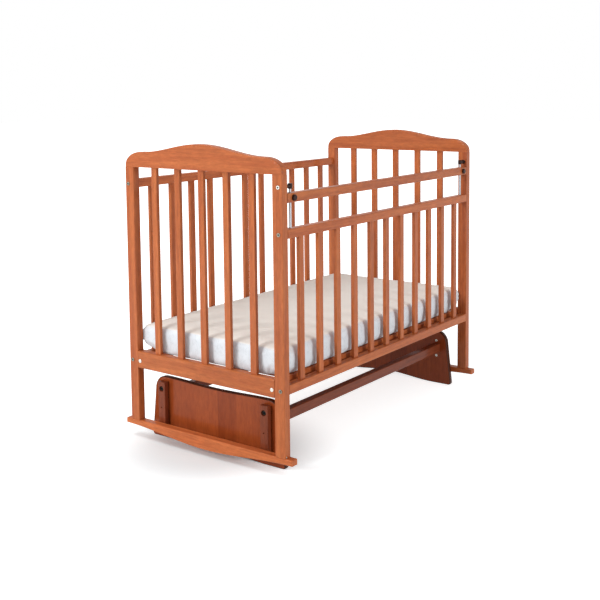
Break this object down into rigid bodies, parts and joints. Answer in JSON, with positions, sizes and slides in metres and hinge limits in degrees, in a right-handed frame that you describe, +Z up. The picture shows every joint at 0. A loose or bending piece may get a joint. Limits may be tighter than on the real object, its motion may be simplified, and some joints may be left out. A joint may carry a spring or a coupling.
{
  "type": "crib",
  "caption": "Wooden slatted crib hung in a low pendulum base that swings sideways, with shaped ends, a drop rail on guide rods and a mattress in a fitted sheet.",
  "frame": {"origin": "On the floor, under the middle of the crib's length and width.", "axes": "+X runs along the crib's length, from the near end in the picture to the far end; -Y is the front, the side with the drop rail; +Z is up."},
  "size_m": [1.2554, 0.736, 1.0432],
  "materials": {
    "frame_wood": "reddish brown stain under satin lacquer",
    "base_wood": "darker reddish brown stain under satin lacquer",
    "sheet_cotton": "plain white fitted cotton sheet",
    "zinc_steel": "zinc plated steel",
    "chrome_rod": "polished chrome plated steel",
    "dark_plastic": "near black brown moulded plastic"
  },
  "bodies": {
    "pendulum_base": {"base_board_far": "base_wood", "base_board_near": "base_wood", "stretcher_back": "base_wood", "stretcher_front": "base_wood", "upper_pivot_far_back": "zinc_steel", "upper_pivot_far_front": "zinc_steel", "upper_pivot_near_back": "zinc_steel", "upper_pivot_near_front": "zinc_steel"},
    "arm_near_front": {"arm_near_front": "base_wood"},
    "arm_near_back": {"arm_near_back": "base_wood"},
    "arm_far_front": {"arm_far_front": "base_wood"},
    "arm_far_back": {"arm_far_back": "base_wood"},
    "drop_rail": {"drop_rail": "frame_wood"},
    "knob_near": {"latch_knob_near": "dark_plastic"},
    "knob_far": {"latch_knob_far": "dark_plastic"},
    "mattress": {"mattress": "sheet_cotton"},
    "crib": {"back_slats_and_rail": "frame_wood", "back_top_rail": "frame_wood", "bolt_far_back_low": "zinc_steel", "bolt_far_back_top": "zinc_steel", "bolt_far_front_low": "zinc_steel", "bolt_far_front_middle": "zinc_steel", "bolt_far_front_top": "zinc_steel", "bolt_near_back_low": "zinc_steel", "bolt_near_back_top": "zinc_steel", "bolt_near_front_low": "zinc_steel", "bolt_near_front_middle": "zinc_steel", "bolt_near_front_top": "zinc_steel", "end_rail_far": "frame_wood", "end_rail_near": "frame_wood", "end_slat_far_1": "frame_wood", "end_slat_far_2": "frame_wood", "end_slat_far_3": "frame_wood", "end_slat_far_4": "frame_wood", "end_slat_far_5": "frame_wood", "end_slat_near_1": "frame_wood", "end_slat_near_2": "frame_wood", "end_slat_near_3": "frame_wood", "end_slat_near_4": "frame_wood", "end_slat_near_5": "frame_wood", "front_slats_and_rail": "frame_wood", "guide_rod_far": "chrome_rod", "guide_rod_near": "chrome_rod", "lower_pivot_far_back": "zinc_steel", "lower_pivot_far_front": "zinc_steel", "lower_pivot_near_back": "zinc_steel", "lower_pivot_near_front": "zinc_steel", "post_far_back": "frame_wood", "post_far_front": "frame_wood", "post_near_back": "frame_wood", "post_near_front": "frame_wood", "rod_head_far": "dark_plastic", "rod_head_near": "dark_plastic", "runner_far": "frame_wood", "runner_near": "frame_wood", "second_rail": "frame_wood", "slatted_base": "frame_wood", "top_rail_far": "frame_wood", "top_rail_near": "frame_wood"}
  },
  "joints": [
    {"name": "swing", "type": "hinge", "parent": "pendulum_base", "child": "arm_near_front", "pos_m": [-0.579, -0.2285, 0.181], "axis": [1, 0, 0], "range_deg": [-14, 14]},
    {"name": "crib_level", "type": "hinge", "parent": "arm_near_front", "child": "crib", "pos_m": [-0.579, -0.2285, 0.05], "axis": [1, 0, 0], "range_deg": [-14.5, 14.5]},
    {"name": "swing_near_back", "type": "hinge", "parent": "pendulum_base", "child": "arm_near_back", "pos_m": [-0.579, 0.2285, 0.181], "axis": [1, 0, 0], "range_deg": [-14.5, 14.5]},
    {"name": "swing_far_front", "type": "hinge", "parent": "pendulum_base", "child": "arm_far_front", "pos_m": [0.579, -0.2285, 0.181], "axis": [1, 0, 0], "range_deg": [-14.5, 14.5]},
    {"name": "swing_far_back", "type": "hinge", "parent": "pendulum_base", "child": "arm_far_back", "pos_m": [0.579, 0.2285, 0.181], "axis": [1, 0, 0], "range_deg": [-14.5, 14.5]},
    {"name": "drop_slide", "type": "slide", "parent": "crib", "child": "drop_rail", "axis": [0, 0, 1], "range_m": [-0.08, 0.01]},
    {"name": "knob_near_slide", "type": "slide", "parent": "drop_rail", "child": "knob_near", "axis": [0, -1, 0], "range_m": [0, 0.006], "stiffness_N_per_m": 300, "springref_m": -0.002},
    {"name": "knob_far_slide", "type": "slide", "parent": "drop_rail", "child": "knob_far", "axis": [0, -1, 0], "range_m": [0, 0.006], "stiffness_N_per_m": 300, "springref_m": -0.002},
    {"name": "mattress_lift", "type": "slide", "parent": "crib", "child": "mattress", "axis": [0, 0, 1], "range_m": [0, 0.75]}
  ],
  "couplings": [
    {"joint": "crib_level", "follows": "swing", "ratio": -1},
    {"joint": "swing_near_back", "follows": "swing", "ratio": 1},
    {"joint": "swing_far_front", "follows": "swing", "ratio": 1},
    {"joint": "swing_far_back", "follows": "swing", "ratio": 1}
  ]
}
